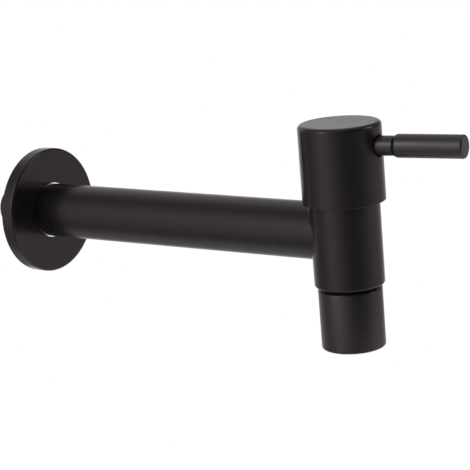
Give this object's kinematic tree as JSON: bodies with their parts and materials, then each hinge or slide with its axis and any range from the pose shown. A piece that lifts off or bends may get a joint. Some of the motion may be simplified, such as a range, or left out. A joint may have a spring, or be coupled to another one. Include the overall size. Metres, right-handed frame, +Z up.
{
  "type": "washing machine tap",
  "caption": "Wall tap for a washing machine: long round tube, upright valve body, round cap with a side lever, sliding cover flange and a screw-off nozzle over the hose thread.",
  "frame": {"origin": "on the axis of the inlet thread and the tube, where that axis meets the wall's face", "axes": "+Y into the wall along the inlet, the tube runs out along -Y, +Z up, +X across"},
  "size_m": [0.061, 0.2571, 0.1016],
  "materials": {
    "black_coating": "satin black coating on brass, fine even texture",
    "bare_brass": "bare turned brass",
    "seal_rubber": "smooth black sealing rubber",
    "white_ceramic": "lapped white alumina ceramic",
    "white_acetal": "plain white acetal",
    "grey_plastic": "moulded grey plastic",
    "stainless_steel": "bare stainless steel",
    "black_steel": "black oxide set screw"
  },
  "bodies": {
    "tap_body": {"valve_body": "black_coating", "wall_tube": "black_coating", "inlet_nipple": "black_coating", "tube_o_ring": "seal_rubber", "headwork_housing": "bare_brass", "headwork_o_ring": "seal_rubber", "seat_seal": "seal_rubber", "fixed_disc": "white_ceramic"},
    "handle": {"moving_disc": "white_ceramic", "spindle": "bare_brass", "thrust_washer": "white_acetal", "spindle_o_rings": "seal_rubber", "retaining_clip": "stainless_steel", "stop_ring": "bare_brass", "handle_cap": "black_coating", "spline_insert": "white_acetal", "grub_screw": "black_steel", "lever_stem": "black_coating", "lever_grip": "black_coating"},
    "flange": {"wall_flange": "black_coating"},
    "washer": {"nozzle_washer": "seal_rubber"},
    "nozzle": {"strainer_disc": "stainless_steel", "flow_straightener": "grey_plastic", "nozzle_sleeve": "black_coating"}
  },
  "joints": [
    {"name": "handle_turn", "type": "hinge", "parent": "tap_body", "child": "handle", "pos_m": [0, -0.178, 0], "axis": [0, 0, 1], "range_deg": [0, 90]},
    {"name": "flange_slide", "type": "slide", "parent": "tap_body", "child": "flange", "axis": [0, -1, 0], "range_m": [0, 0.15]},
    {"name": "nozzle_travel", "type": "slide", "parent": "tap_body", "child": "washer", "axis": [0, 0, -1], "range_m": [0, 0.0109]},
    {"name": "nozzle_turn", "type": "hinge", "parent": "washer", "child": "nozzle", "pos_m": [0, -0.178, 0], "axis": [0, 0, -1], "range_deg": [0, 2160]}
  ],
  "couplings": [
    {"joint": "nozzle_travel", "follows": "nozzle_turn", "m_per_rad": 0.00028871}
  ]
}
